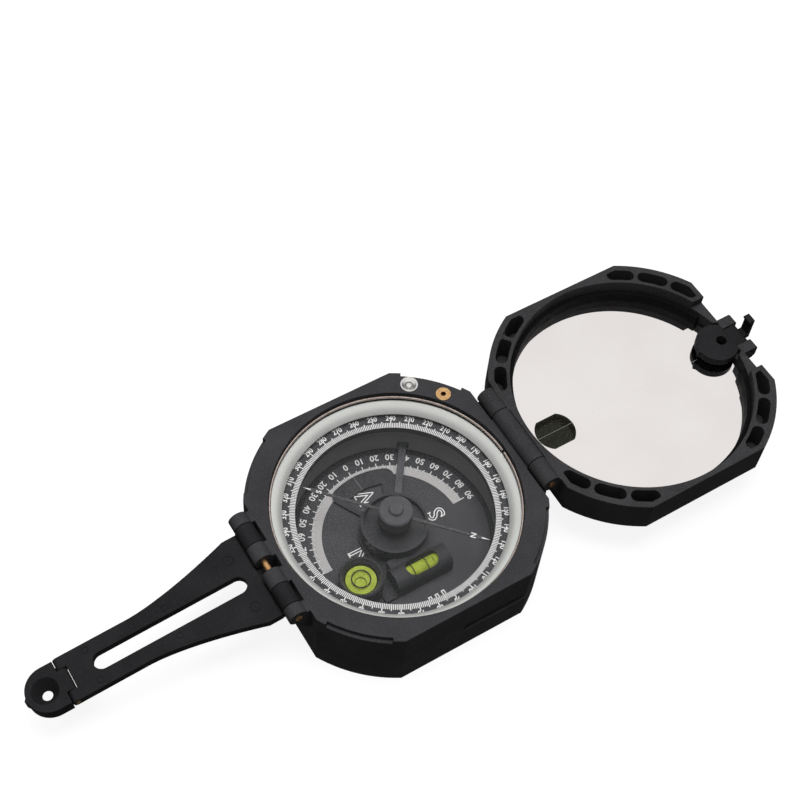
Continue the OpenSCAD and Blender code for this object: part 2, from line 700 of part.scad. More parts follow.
// Oval of the sighting window: a circle with its sides cut straight
module window_shape(shrink, z0, h) {
    intersection() {
        translate([0, window_y, z0]) cylinder(r = window_r - shrink, h = h);
        translate([-window_w / 2 + shrink, window_y - 10, z0]) cube([window_w - 2 * shrink, 20, h]);
    }
}

module lid_shell() color("#2a2a2c") difference() {
    union() {
        translate([0, lid_y, 0]) outline(lid_z, lid_t);
        // outer knuckles, each with its web
        for (x = [[-hinge_half, -lid_case_half - 0.25], [lid_case_half + 0.25, hinge_half]]) {
            x_rod(knuckle_r, x[0], x[1], -lid_axis_y, lid_axis_z);
            translate([0, -lid_axis_y, lid_axis_z])
                x_prism([[0, -2.4], [-3.4, -8], [-3.4, lid_gap], [0, lid_gap]], x[0], x[1]);
        }
        // lugs of the small sight
        for (s = [-1, 1]) {
            x0 = s > 0 ? tongue_half + 0.2 : -lug_half;
            x_prism([[lid_y - case_d / 2 + 2, 13.6], [-114.2, 15.2], [-115.1, 16.2], [-115.1, 19.3],
                     [-114.5, 19.9], [lid_y - case_d / 2 + 2, 19.9]], x0, x0 + lug_half - tongue_half - 0.2);
        }
    }
    translate([0, lid_y, mirror_z]) cylinder(r = lid_bowl_r, h = 20, $fn = 180);
    translate([0, lid_y, 0]) rim_pockets();
    // passage for the folded arm, and the nook of the small sight
    translate([-recess_half, lid_y - case_d / 2 - 1, recess_floor])
        cube([2 * recess_half, 10, 10]);
    translate([0, 0, sight_z - 0.5]) linear_extrude(10)
        polygon([[-6.7, -100], [6.7, -100], [6.7, -107.6], [5.3, -109.9], [3.3, -109.95], [3.3, -120],
                 [-3.3, -120], [-3.3, -109.95], [-5.3, -109.9], [-6.7, -107.6]]);
    // clearance over the lift pin when the lid is shut
    translate([lift_x, lid_y - lift_y, rim_z - 0.7]) cylinder(r = 1.7, h = 2, $fn = 32);
    window_shape(0, lid_z - 1, 10);
    // recess of the label
    translate([0, lid_y, lid_z - 1]) rounded_plate(label_w, label_d, 1 + label_t, 2.5);
    x_rod(hinge_pin_r + 0.05, -20, hinge_half - 0.7, -lid_axis_y, lid_axis_z);
    x_rod(0.6, -20, 20, sight_axis_y, sight_axis_z);
}

module mirror() color("gainsboro") difference() {
    translate([0, lid_y, mirror_z]) cylinder(r = mirror_r, h = mirror_t, $fn = 180);
    window_shape(0, mirror_z - 1, 4);
}

// Springy band that holds the mirror down, open where the two sights fold in
module mirror_retainer() color("#232325") translate([0, lid_y, mirror_z + mirror_t]) difference() {
    rotate_extrude($fn = 180)
        polygon([[32.2, 0], [33.5, 0], [33.5, 3.1], [32.4, 3.1]]);
    wedge(-108, -72, 60, -10, 40);
}

module window_glass() color("lightcyan", 0.3) window_shape(0.05, mirror_z + 0.1, mirror_t - 0.15);

module window_pane() color("#2e2e2a", 0.8) window_shape(0.05, lid_z + 0.1, 0.9);

module label_plate() color("#303032")
    translate([0, lid_y, lid_z + 0.03]) rounded_plate(label_w - 0.2, label_d - 0.2, label_t - 0.03, 2.4);

module small_sight_pin() color("goldenrod")
    x_rod(0.6, -lug_half + 0.6, lug_half - 0.6, sight_axis_y, sight_axis_z);

// Sight plate with a peep hole, its hinge tongue, and the catch that snaps over the arm's pin
module small_sight() color("#303032") difference() {
    union() {
        intersection() {
            translate([0, sight_y, sight_z]) cylinder(r = sight_r, h = sight_t);
            translate([-10, -109.5, sight_z]) cube([20, 20, sight_t]);
        }
        translate([-tongue_half, sight_axis_y, sight_z]) cube([2 * tongue_half, 5, 1.4]);
        x_rod(1.5, -tongue_half, tongue_half, sight_axis_y, sight_axis_z);
        // catch blade and its barb
        x_prism([[sight_axis_y - 0.5, 17.2], [-116.3, 17.6], [-116.3, 25.3], [-114.5, 25.3],
                 [-114.5, 24.6], [-115.2, 23.9], [-115.2, 19.5], [sight_axis_y - 0.5, 19]], -1.4, 1.4);
        // point that marks the sight line
        translate([0, 0, sight_z]) linear_extrude(sight_t)
            polygon([[-1, sight_y + sight_r - 0.2], [1, sight_y + sight_r - 0.2],
                     [0, sight_y + sight_r + 0.6]]);
    }
    translate([0, sight_hole_y, sight_z - 1]) cylinder(r = 1.5, h = 5);
    x_rod(0.65, -20, 20, sight_axis_y, sight_axis_z);
}

case_body();
dial_plate();
bezel_ring();
glass_gasket();
glass_cover();
retaining_wire();
lift_pin_bush();
lift_spring();
lever_axle();
clinometer_bush();
arm_hinge_pin();
lid_hinge_pin();
graduated_ring();
adjuster_pinion();
adjuster_screw();
lift_pin();
lift_lever();
lift_sleeve();
needle_blade();
needle_hub();
needle_magnet();
needle_jewel();
clinometer_frame();
damping_disc();
needle_pivot();
clinometer_shaft();
clinometer_lever();
lever_screw();
round_vial();
round_fluid();
tube_vial();
tube_fluid();
tube_plug();
long_sight_arm();
tip_hinge_pin();
peep_sight();
lid_shell();
mirror();
mirror_retainer();
window_glass();
window_pane();
label_plate();
small_sight_pin();
small_sight();
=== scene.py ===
"""Geology compass: materials, printed scales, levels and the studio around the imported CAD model.

Lengths in this script are millimetres until they reach Blender, which gets metres. Only the floor and the
lamp are given in metres.
"""

import math

import bmesh
import bpy
from mathutils import Matrix, Vector


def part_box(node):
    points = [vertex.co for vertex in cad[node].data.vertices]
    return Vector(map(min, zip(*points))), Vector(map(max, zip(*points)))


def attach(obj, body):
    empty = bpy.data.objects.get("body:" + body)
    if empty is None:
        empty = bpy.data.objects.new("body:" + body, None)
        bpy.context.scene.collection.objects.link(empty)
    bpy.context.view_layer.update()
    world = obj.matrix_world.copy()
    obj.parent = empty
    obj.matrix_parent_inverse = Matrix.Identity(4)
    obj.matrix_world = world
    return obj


MM = 0.001
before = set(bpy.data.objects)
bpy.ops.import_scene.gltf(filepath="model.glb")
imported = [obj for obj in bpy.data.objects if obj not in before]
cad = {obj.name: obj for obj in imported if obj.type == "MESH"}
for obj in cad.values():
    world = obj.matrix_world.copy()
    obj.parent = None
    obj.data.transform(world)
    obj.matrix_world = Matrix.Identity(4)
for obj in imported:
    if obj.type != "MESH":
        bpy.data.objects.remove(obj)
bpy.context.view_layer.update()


def low(node):
    """Lowest corner of a CAD node, in millimetres."""
    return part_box(node)[0] / MM


def high(node):
    """Highest corner of a CAD node, in millimetres."""
    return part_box(node)[1] / MM


def polar(radius, degrees):
    """The x and y of a point given by its radius and its angle from the X axis."""
    angle = math.radians(degrees)
    return radius * math.cos(angle), radius * math.sin(angle)


def shade(color, factor):
    """A colour made lighter or darker by a factor."""
    return tuple(channel * factor for channel in color)


# ---------------------------------------------------------------- materials


def set_stops(node, stops):
    """Gives a colour ramp node its stops, pairs of a position and a grey or a colour."""
    elements = node.color_ramp.elements
    while len(elements) < len(stops):
        elements.new(0.5)
    for element, (position, value) in zip(elements, stops):
        element.position = position
        element.color = (*value, 1) if isinstance(value, tuple) else (value, value, value, 1)


class Surface:
    """A node material with one Principled shader, and short ways to wire what feeds it."""

    def __init__(self, name, color, roughness, **sockets):
        self.material = bpy.data.materials.new(name)
        self.material.use_nodes = True
        self.tree = self.material.node_tree
        self.shader = self.tree.nodes["Principled BSDF"]
        self.shader.inputs["Base Color"].default_value = (*color, 1)
        self.shader.inputs["Roughness"].default_value = roughness
        for socket, value in sockets.items():
            self.shader.inputs[socket.replace("_", " ")].default_value = value
        self.where = self.add("ShaderNodeTexCoord").outputs["Object"]

    def add(self, kind, **settings):
        """A new node of the material, with some of its properties set."""
        node = self.tree.nodes.new(kind)
        for key, value in settings.items():
            setattr(node, key, value)
        return node

    def link(self, source, target):
        self.tree.links.new(source, target)

    def noise(self, grain, detail=3.0, stretch=None):
        """Noise whose blobs are about `grain` millimetres across, drawn out along an axis by `stretch`."""
        node = self.add("ShaderNodeTexNoise")
        node.inputs["Scale"].default_value = 1 / (grain * MM)
        node.inputs["Detail"].default_value = detail
        if stretch:
            mapping = self.add("ShaderNodeMapping")
            mapping.inputs["Scale"].default_value = stretch
            self.link(self.where, mapping.inputs["Vector"])
            self.link(mapping.outputs["Vector"], node.inputs["Vector"])
        else:
            self.link(self.where, node.inputs["Vector"])
        return node.outputs["Fac"]

    def ramp(self, source, stops):
        """Colour ramp over a value."""
        node = self.add("ShaderNodeValToRGB")
        set_stops(node, stops)
        self.link(source, node.inputs["Fac"])
        return node.outputs["Color"]

    def along(self, axes, scale, stops):
        """Ramp over the distance from the origin along `axes`, its stops given in millimetres.

        `scale` is per metre, and brings that distance within the ramp's nought to one.
        """
        mapping = self.add("ShaderNodeMapping")
        mapping.inputs["Scale"].default_value = [axis * scale for axis in axes]
        self.link(self.where, mapping.inputs["Vector"])
        length = self.add("ShaderNodeVectorMath", operation="LENGTH")
        self.link(mapping.outputs["Vector"], length.inputs[0])
        return self.ramp(length.outputs["Value"], [(place * MM * scale, value) for place, value in stops])

    def product(self, a, b):
        """Two values multiplied."""
        node = self.add("ShaderNodeMath", operation="MULTIPLY")
        self.link(a, node.inputs[0])
        self.link(b, node.inputs[1])
        return node.outputs[0]

    def mix(self, factor, a, b):
        """From colour `a` where the factor is nought to colour `b` where it is one."""
        node = self.add("ShaderNodeMix", data_type="RGBA")
        self.link(factor, node.inputs["Factor"])
        for socket, value in (("A", a), ("B", b)):
            target = next(s for s in node.inputs if s.name == socket and s.type == "RGBA")
            if isinstance(value, tuple):
                target.default_value = (*value, 1)
            else:
                self.link(value, target)
        return next(s for s in node.outputs if s.type == "RGBA")

    def color(self, output):
        """Feeds the base colour."""
        self.link(output, self.shader.inputs["Base Color"])
        return self

    def overlay(self, mask, color):
        """Lays `color` over what feeds the base colour so far, where the mask is one."""
        below = self.shader.inputs["Base Color"].links[0].from_socket
        return self.color(self.mix(mask, below, color))

    def roughness(self, output):
        """Feeds the roughness."""
        self.link(output, self.shader.inputs["Roughness"])
        return self

    def bump(self, *layers, round_edges=0.0):
        """Stacked bumps, each a height source and its depth in millimetres, over softened edges."""
        normal = None
        if round_edges:
            bevel = self.add("ShaderNodeBevel", samples=6)
            bevel.inputs["Radius"].default_value = round_edges * MM
            normal = bevel.outputs["Normal"]
        for height, depth in layers:
            node = self.add("ShaderNodeBump")
            node.inputs["Strength"].default_value = 1.0
            node.inputs["Distance"].default_value = depth * MM
            self.link(height, node.inputs["Height"])
            if normal:
                self.link(normal, node.inputs["Normal"])
            normal = node.outputs["Normal"]
        self.link(normal, self.shader.inputs["Normal"])
        return self


def textured_black(name, base, grain, depth, round_edges, level=0.06):
    """Sand-blasted black coating: a fine bright grain, faint handling marks and a few specks of dust."""
    s = Surface(name, base, 0.5, Specular_IOR_Level=level)
    patches = s.ramp(s.noise(9, 4), [(0.35, shade(base, 0.85)), (0.7, shade(base, 1.18))])
    grains = s.ramp(s.noise(grain * 1.6, 2), [(0.5, 0.0), (0.72, 0.5)])
    speckled = s.mix(grains, patches, shade(base, 2.1))
    dust = s.ramp(s.noise(0.4, 1), [(0.76, 0.0), (0.8, 0.4)])
    s.color(s.mix(dust, speckled, shade(base, 4)))
    s.roughness(s.ramp(s.noise(2.2, 5), [(0.3, 0.44), (0.7, 0.58)]))
    return s.bump((s.noise(grain, 3), depth), (s.noise(grain * 4, 2), depth * 0.5), round_edges=round_edges)


def gloss_black(name, base, rough=0.3):
    """Moulded black with a slight flow and hairline scuffs."""
    s = Surface(name, base, rough, Specular_IOR_Level=0.2)
    s.color(s.ramp(s.noise(4, 4), [(0.3, shade(base, 0.85)), (0.75, shade(base, 1.2))]))
    s.roughness(s.ramp(s.noise(1.1, 6, stretch=(1, 5, 1)), [(0.35, rough * 0.85), (0.7, rough * 1.3)]))
    return s.bump((s.noise(2.5, 2), 0.01))


def turned_metal(name, color, dark, rough, round_edges=0.0):
    """Metal with fine turning marks and uneven tarnish."""
    s = Surface(name, color, rough, Metallic=1.0)
    s.color(s.ramp(s.noise(0.9, 5), [(0.3, dark), (0.65, color)]))
    s.roughness(s.ramp(s.noise(0.5, 4, stretch=(1, 1, 6)), [(0.3, rough * 0.75), (0.7, rough * 1.5)]))
    return s.bump((s.noise(0.12, 2, stretch=(1, 1, 5)), 0.006), round_edges=round_edges)


def clear(name, tint, veil, edge, shine=0.6):
    """Thin clear glass: a faint veil face on, stronger reflection at a glancing angle."""
    s = Surface(name, tint, 0.03, Specular_IOR_Level=shine)
    facing = s.add("ShaderNodeLayerWeight").outputs["Facing"]
    smear = s.ramp(s.noise(14, 3), [(0.35, 0.9), (0.7, 1.1)])
    s.link(s.product(s.ramp(facing, [(0.3, veil), (0.95, edge)]), smear), s.shader.inputs["Alpha"])
    return s


def print_ink(name, color, wear):
    """Screen-printed ink, slightly thin in places."""
    s = Surface(name, color, 0.55, Specular_IOR_Level=0.3)
    s.color(s.ramp(s.noise(0.5, 4), [(0.3, shade(color, wear)), (0.6, color)]))
    return s.bump((s.noise(0.12, 2), 0.004))


def liquid(name, color, deep):
    """Fluorescent spirit in a level; its faint emission is a painted glow."""
    s = Surface(name, color, 0.08, Specular_IOR_Level=0.3)
    body = s.ramp(s.noise(2.4, 2), [(0.3, deep), (0.7, color)])
    s.color(body)
    s.link(body, s.shader.inputs["Emission Color"])
    s.shader.inputs["Emission Strength"].default_value = 0.12
    return s


def silvered(name):
    """Mirror silvering under glass, with a hint of dust and faint wipe marks."""
    s = Surface(name, (0.9, 0.885, 0.885), 0.03, Metallic=1.0)
    s.color(s.ramp(s.noise(20, 3), [(0.3, (0.9, 0.87, 0.865)), (0.7, (0.94, 0.915, 0.91))]))
    s.roughness(s.ramp(s.noise(3, 6, stretch=(1, 3, 1)), [(0.45, 0.01), (0.8, 0.04)]))
    return s


def dial_face(name, base):
    """Anodised dial plate with a fine even tooth."""
    s = Surface(name, base, 0.5, Specular_IOR_Level=0.25)
    s.color(s.ramp(s.noise(6, 5), [(0.3, shade(base, 0.9)), (0.7, shade(base, 1.1))]))
    return s.bump((s.noise(0.14, 2), 0.006))


MATERIALS = {
    "case_paint": textured_black("case_paint", (0.0225, 0.0223, 0.024), 0.22, 0.03, 0.35),
    "lid_paint": textured_black("lid_paint", (0.021, 0.0206, 0.0218), 0.24, 0.03, 0.3),
    "sight_paint": textured_black("sight_paint", (0.0092, 0.009, 0.0098), 0.2, 0.025, 0.25),
    "retainer_paint": textured_black("retainer_paint", (0.003, 0.003, 0.0032), 0.2, 0.02, 0.15, level=0.04),
    "gloss_black": gloss_black("gloss_black", (0.027, 0.027, 0.029)),
    "hub_black": gloss_black("hub_black", (0.05, 0.049, 0.053), 0.35),
    "dial_plate": dial_face("dial_plate", (0.037, 0.037, 0.04)),
    "ring_face": dial_face("ring_face", (0.03, 0.03, 0.033)),
    "copper_disc": turned_metal("copper_disc", (0.15, 0.095, 0.075), (0.1, 0.06, 0.045), 0.4),
    "bezel": Surface("bezel", (0.48, 0.49, 0.47), 0.25, Specular_IOR_Level=0.4),
    "rubber": Surface("rubber", (0.02, 0.02, 0.02), 0.8),
    "glass": clear("glass", (0.1, 0.105, 0.105), veil=0.04, edge=0.3),
    "vial_glass": clear("vial_glass", (0.12, 0.14, 0.06), veil=0.04, edge=0.3, shine=0.4),
    "liquid": liquid("liquid", (0.27, 0.32, 0.035), (0.19, 0.235, 0.02)),
    # A nearly opaque dark pane for the lid's window: painted shade, which stands for the dark seen through
    # it
    "shade_dark_pane": clear("shade_dark_pane", (0.006, 0.006, 0.004), veil=0.975, edge=0.99, shine=0.2),
    "window_cover": clear("window_cover", (0.03, 0.03, 0.02), veil=0.06, edge=0.2, shine=0.15),
    "mirror": silvered("mirror"),
    "steel": turned_metal("steel", (0.4, 0.4, 0.41), (0.3, 0.3, 0.31), 0.35),
    "wire": turned_metal("wire", (0.8, 0.7, 0.64), (0.6, 0.5, 0.45), 0.28),
    "chrome": turned_metal("chrome", (0.86, 0.85, 0.84), (0.7, 0.69, 0.68), 0.18, 0.1),
    "brass": turned_metal("brass", (0.82, 0.5, 0.23), (0.56, 0.31, 0.12), 0.32),
    "screw_brass": turned_metal("screw_brass", (0.9, 0.58, 0.28), (0.62, 0.36, 0.15), 0.3),
    "needle": turned_metal("needle", (0.17, 0.17, 0.175), (0.1, 0.1, 0.105), 0.4),
    "lever_grey": gloss_black("lever_grey", (0.055, 0.055, 0.06)),
    "jewel": Surface("jewel", (0.3, 0.02, 0.05), 0.1),
    "white_ink": print_ink("white_ink", (0.56, 0.555, 0.55), 0.85),
    "band_ink": print_ink("band_ink", (0.3, 0.29, 0.288), 0.88),
    "black_ink": print_ink("black_ink", (0.008, 0.008, 0.009), 1.0),
    "grey_ink": print_ink("grey_ink", (0.14, 0.14, 0.145), 0.8),
    "faint_ink": print_ink("faint_ink", (0.45, 0.44, 0.435), 0.9),
    "window_ink": print_ink("window_ink", (0.14, 0.14, 0.13), 0.8),
    "dial_ink": dial_face("dial_ink", (0.037, 0.037, 0.04)),
    "label_ink": print_ink("label_ink", (0.3, 0.29, 0.28), 0.8),
}

# Axes for Surface.along: height, and distance from the middle of the dial
UPWARD = (0, 0, 1)
OUTWARD = (1, 1, 0)

# The bezel is painted darker towards its lower lip, as painted shade where the lip is shaded: heights and
# the colours there
BEZEL_PAINTED_SHADE = [
    (17.0, (0.19, 0.193, 0.186)),
    (17.9, (0.3, 0.305, 0.294)),
    (18.6, (0.44, 0.447, 0.43)),
    (19.4, (0.5, 0.508, 0.492)),
]
bezel = MATERIALS["bezel"]
tarnish = bezel.ramp(bezel.noise(5, 4), [(0.35, 0.0), (0.7, 0.1)])
bezel.color(bezel.mix(tarnish, bezel.along(UPWARD, 50, BEZEL_PAINTED_SHADE), (0.5, 0.51, 0.49)))
bezel.bump((bezel.noise(1.5, 3), 0.01), round_edges=0.15)

# The driving socket of the adjusting screw is painted dark, as painted shade in its recess
SOCKET_DEEP, SOCKET_EDGE = 22.1, 22.425
screw = MATERIALS["screw_brass"]
screw.overlay(screw.along(UPWARD, 40, [(SOCKET_DEEP, 1.0), (SOCKET_EDGE, 0.0)]), (0.06, 0.035, 0.02))

# The wall of the bowl gets painted light: a lighter grey from a little above its floor and out to a radius
# within the case. The grey fades over a short way at both
WALL_FOOT = (2.9, 3.3)
WALL_BACK = (27.9, 28.4)
case = MATERIALS["case_paint"]
inside = case.along(OUTWARD, 10, [(WALL_BACK[0], 1.0), (WALL_BACK[1], 0.0)])
above = case.along(UPWARD, 10, [(WALL_FOOT[0], 0.0), (WALL_FOOT[1], 1.0)])
case.overlay(case.product(inside, above), (0.17, 0.17, 0.178))

rubber = MATERIALS["rubber"]
rubber.bump((rubber.noise(0.2, 3), 0.01))
jewel = MATERIALS["jewel"]
jewel.color(jewel.ramp(jewel.noise(0.6, 2), [(0.3, (0.25, 0.01, 0.03)), (0.7, (0.4, 0.03, 0.07))]))

FINISH = {
    "case_paint": ["case_body"],
    "lid_paint": ["lid_shell"],
    "sight_paint": ["long_sight_arm", "peep_sight", "small_sight", "clinometer_lever", "label_plate"],
    "gloss_black": ["clinometer_frame", "tube_plug"],
    "retainer_paint": ["mirror_retainer"],
    "hub_black": ["needle_hub"],
    "dial_plate": ["dial_plate"],
    "ring_face": ["graduated_ring"],
    "copper_disc": ["damping_disc"],
    "bezel": ["bezel_ring"],
    "rubber": ["glass_gasket"],
    "glass": ["glass_cover"],
    "window_cover": ["window_glass"],
    "vial_glass": ["round_vial", "tube_vial"],
    "liquid": ["round_fluid", "tube_fluid"],
    "shade_dark_pane": ["window_pane"],
    "mirror": ["mirror"],
    "steel": ["lift_spring", "lift_sleeve", "needle_pivot", "clinometer_shaft"],
    "lever_grey": ["lift_lever", "lever_axle"],
    "wire": ["retaining_wire"],
    "chrome": ["lift_pin", "lift_pin_bush"],
    "brass": ["arm_hinge_pin", "lid_hinge_pin", "tip_hinge_pin", "small_sight_pin", "adjuster_pinion",
              "clinometer_bush", "lever_screw"],
    "screw_brass": ["adjuster_screw"],
    "needle": ["needle_blade", "needle_magnet"],
    "jewel": ["needle_jewel"],
}

for finish, names in FINISH.items():
    for name in names:
        mesh = cad[name].data
        mesh.materials.clear()
        mesh.materials.append(MATERIALS[finish].material)


# ---------------------------------------------------------------- printed marks


def put(piece):
    """Adds an object to the scene."""
    bpy.context.scene.collection.objects.link(piece)
    return piece


class Marks:
    """Flat printed marks gathered into one mesh, each a small closed plate of ink."""

    def __init__(self, name, body, ink, slot, thickness=0.012):
        self.name, self.body, self.ink, self.slot = name, body, ink, slot
        self.thickness = thickness
        self.bm = bmesh.new()

    def outline(self, points, z):
        """A filled polygon from its corners, in order."""
        self.bm.faces.new([self.bm.verts.new((x, y, z)) for x, y in points])

    def bar(self, x0, y0, x1, y1, width, z):
        """A straight stroke between two points."""
        along = Vector((x1 - x0, y1 - y0)).normalized() * width / 2
        self.outline([(x0 + along.y, y0 - along.x), (x1 + along.y, y1 - along.x),
                      (x1 - along.y, y1 + along.x), (x0 - along.y, y0 + along.x)], z)

    def tick(self, angle, r0, r1, width, z):
        """A stroke along a radius, from r0 to r1."""
        self.bar(*polar(r0, angle), *polar(r1, angle), width, z)

    def arc(self, r0, r1, a0, a1, z, step=2.0, centre=(0, 0)):
        """Part of a flat ring from angle a0 to a1."""
        count = max(1, round(abs(a1 - a0) / step))
        rows = []
        for i in range(count + 1):
            angle = a0 + (a1 - a0) * i / count
            ends = [polar(radius, angle) for radius in (r0, r1)]
            rows.append([self.bm.verts.new((x + centre[0], y + centre[1], z)) for x, y in ends])
        for (p, q), (s, t) in zip(rows, rows[1:]):
            self.bm.faces.new((p, q, t, s))

    def text(self, words, height, x, y, turn, z, bold=0.0, squeeze=1.0, up=1):
        """Words centred on x, y, turned by `turn` degrees; up=-1 prints them to be read from below."""
        points, faces = glyph_mesh(words, bold)
        size = height / CAP
        place = (Matrix.Translation((x, y, z)) @ Matrix.Rotation(math.radians(turn), 4, "Z")
                 @ Matrix.Diagonal((size * squeeze, size * up, 1, 1)))
        verts = [self.bm.verts.new(place @ p) for p in points]
        for face in faces:
            self.bm.faces.new([verts[i] for i in (face if up > 0 else reversed(face))])

    def done(self):
        """Makes the piece and fastens it to its body."""
        bmesh.ops.remove_doubles(self.bm, verts=self.bm.verts, dist=1e-5)
        mesh = bpy.data.meshes.new(self.name)
        for vert in self.bm.verts:
            vert.co *= MM
        self.bm.to_mesh(mesh)
        self.bm.free()
        piece = put(bpy.data.objects.new(self.name, mesh))
        mesh.materials.append(MATERIALS[self.ink].material)
        solid = piece.modifiers.new("ink", "SOLIDIFY")
        solid.thickness = self.thickness * MM
        solid.offset = 1.0
        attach(piece, self.body)


CAP = 0.729  # height of a capital in Blender's own font, as a part of its size
glyph_cache = {}


def glyph_mesh(words, bold):
    """Points and faces of a word, centred on its capitals, one unit to the font's size."""
    key = (words, bold)
    if key not in glyph_cache:
        curve = bpy.data.curves.new("words", "FONT")
        curve.body = words
        curve.align_x = "CENTER"
        curve.offset = bold
        curve.resolution_u = 3
        curve.fill_mode = "FRONT"
        holder = put(bpy.data.objects.new("words", curve))
        bpy.context.view_layer.update()
        mesh = holder.evaluated_get(bpy.context.evaluated_depsgraph_get()).to_mesh()
        points = [Vector((v.co.x, v.co.y - CAP / 2, 0)) for v in mesh.vertices]
        faces = [list(p.vertices) for p in mesh.polygons]
        bpy.data.objects.remove(holder)
        bpy.data.curves.remove(curve)
        glyph_cache[key] = points, faces
    return glyph_cache[key]


RISE = 0.015  # how far ink stands above its surface


def degree_ticks(marks, degrees, turn, start, kinds, z):
    """A tick for every degree from the radius `start`; `kinds` has those for tens, fives and ones."""
    tens, fives, ones = kinds
    for degree in degrees:
        reach, width = tens if degree % 10 == 0 else fives if degree % 5 == 0 else ones
        marks.tick(turn + degree, start, reach, width, z)


# Degree ring: a tick for every degree inside the figures, which stand with their tops outward
RING_TURN = 91.7  # where zero stands, a little past the long sight
RING_INSIDE = 26.35
RING_TICKS = ((28.7, 0.27), (28.25, 0.26), (27.85, 0.24))  # radius reached and width
RING_FIGURE, RING_FIGURES_AT = 1.6, 29.42
ring_z = high("graduated_ring").z + RISE
ring_marks = Marks("ring_figures", "dial_ring", "white_ink", "dial_grey")
degree_ticks(ring_marks, range(360), RING_TURN, RING_INSIDE, RING_TICKS, ring_z)
for degree in range(0, 360, 10):
    angle = RING_TURN + degree
    place = polar(RING_FIGURES_AT, angle)
    ring_marks.text(str(degree), RING_FIGURE, *place, angle - 90, ring_z, bold=0.02, squeeze=0.82)
ring_marks.done()

# Clinometer scale on the dial plate: a pale toothed band, with figures outside it
SCALE_TURN = 1.5
BAND = (19.25, 21.25)
BAND_ENDS = (-90.6, 90.9)
SCALE_INSIDE = BAND[1] + 0.01  # the ticks stand clear of the band
SCALE_TICKS = ((22.9, 0.22), (22.35, 0.2), (21.95, 0.19))  # radius reached and width
SCALE_FIGURE, SCALE_FIGURES_AT = 1.85, 24.55
plate_z = high("dial_plate").z + RISE
band = Marks("clinometer_band", "case", "band_ink", "dial_grey")
band.arc(*BAND, SCALE_TURN + BAND_ENDS[0], SCALE_TURN + BAND_ENDS[1], plate_z)
figures = Marks("clinometer_figures", "case", "white_ink", "dial_grey")
degree_ticks(figures, range(-90, 91), SCALE_TURN, SCALE_INSIDE, SCALE_TICKS, plate_z)
for degree in range(-90, 91, 10):
    angle = SCALE_TURN + degree
    place = polar(SCALE_FIGURES_AT, angle)
    figures.text(str(abs(degree)), SCALE_FIGURE, *place, angle + 90, plate_z, bold=0.015)
band.done()

# Quarter letters, drawn in outline with small serifs: where each stands, and its serifs from there
LETTER, SERIF, SERIF_WIDTH = 4.9, 0.75, 0.22
LETTERS = {
    "N": ((-1.0, 10.9), [(-1.7, 2.5), (-1.7, -2.5), (1.7, 2.5), (1.7, -2.5)]),
    "S": ((0.0, -13.3), []),
    "W": ((12.6, 0.6), [(-2.45, 2.5), (0, 2.5), (2.45, 2.5)]),
    "E": ((-21.9, -0.7), [(-1.45, 2.5), (-1.45, -2.5)]),
}
letter_cores = Marks("quarter_letter_cores", "case", "dial_ink", "dial_grey")
for letter, ((x, y), serifs) in LETTERS.items():
    figures.text(letter, LETTER, x, y, 0, plate_z, bold=0.03)
    letter_cores.text(letter, LETTER, x, y, 0, plate_z + RISE, bold=-0.012)
    for dx, dy in serifs:
        figures.bar(x + dx - SERIF, y + dy, x + dx + SERIF, y + dy, SERIF_WIDTH, plate_z)
figures.done()
letter_cores.done()

# Index line of the clinometer, on its vernier plate
VERNIER_PLATE = 0.7
INDEX_LINE = (15.9, 20.4, 0.12)  # radii from and to, and width
vernier = Marks("vernier_line", "clinometer", "grey_ink", "dial_grey")
vernier.tick(SCALE_TURN, *INDEX_LINE, low("clinometer_frame").z + VERNIER_PLATE + RISE)
vernier.done()

# Needle: letters on the blade and bright pointed tips
NEEDLE_DIR = 222.6
TIP_POINT, TIP_FOOT, TIP_HALF_WIDTH = 25.7, 23.4, 0.22
NEEDLE_LETTER, NEEDLE_LETTERS_AT = 1.5, 21.2
needle_z = high("needle_blade").z + RISE
needle_marks = Marks("needle_letters", "needle", "white_ink", "magnet")
for letter, turn in (("N", 0), ("S", 180)):
    angle = NEEDLE_DIR + turn
    foot = Vector(polar(TIP_FOOT, angle))
    aside = Vector(polar(TIP_HALF_WIDTH, angle + 90))
    needle_marks.outline([polar(TIP_POINT, angle), foot + aside, foot - aside], needle_z)
    place = polar(NEEDLE_LETTERS_AT, angle)
    needle_marks.text(letter, NEEDLE_LETTER, *place, angle - 90, needle_z, bold=0.02)
needle_marks.done()

# Ring on the round level, which marks where its bubble should stand
ROUND = (-9.1, 15.6)
LEVEL_RING = (2.36, 2.66)
level_marks = Marks("level_rings", "clinometer", "black_ink", "gloss_black")
level_marks.arc(*LEVEL_RING, 0, 360, high("round_vial").z + RISE, step=10, centre=ROUND)
level_marks.done()


def swept_arc(name, body, finish, slot, centre, radius, wire, a0, a1, plane):
    """A round wire of radius `wire`, bent into part of a circle in the XY or XZ plane."""
    curve = bpy.data.curves.new(name, "CURVE")
    curve.dimensions = "3D"
    curve.bevel_depth = wire * MM
    curve.bevel_resolution = 2
    curve.use_fill_caps = True
    count = 24
    closed = abs(a1 - a0) >= 360
    spline = curve.splines.new("POLY")
    spline.points.add(count - 1)
    for i, point in enumerate(spline.points):
        u, v = polar(radius, a0 + (a1 - a0) * i / (count if closed else count - 1))
        offset = (u, v, 0) if plane == "XY" else (u, 0, v)
        point.co = (*((Vector(centre) + Vector(offset)) * MM), 1)
    spline.use_cyclic_u = closed
    piece = put(bpy.data.objects.new(name, curve))
    curve.materials.append(MATERIALS[finish].material)
    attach(piece, body)


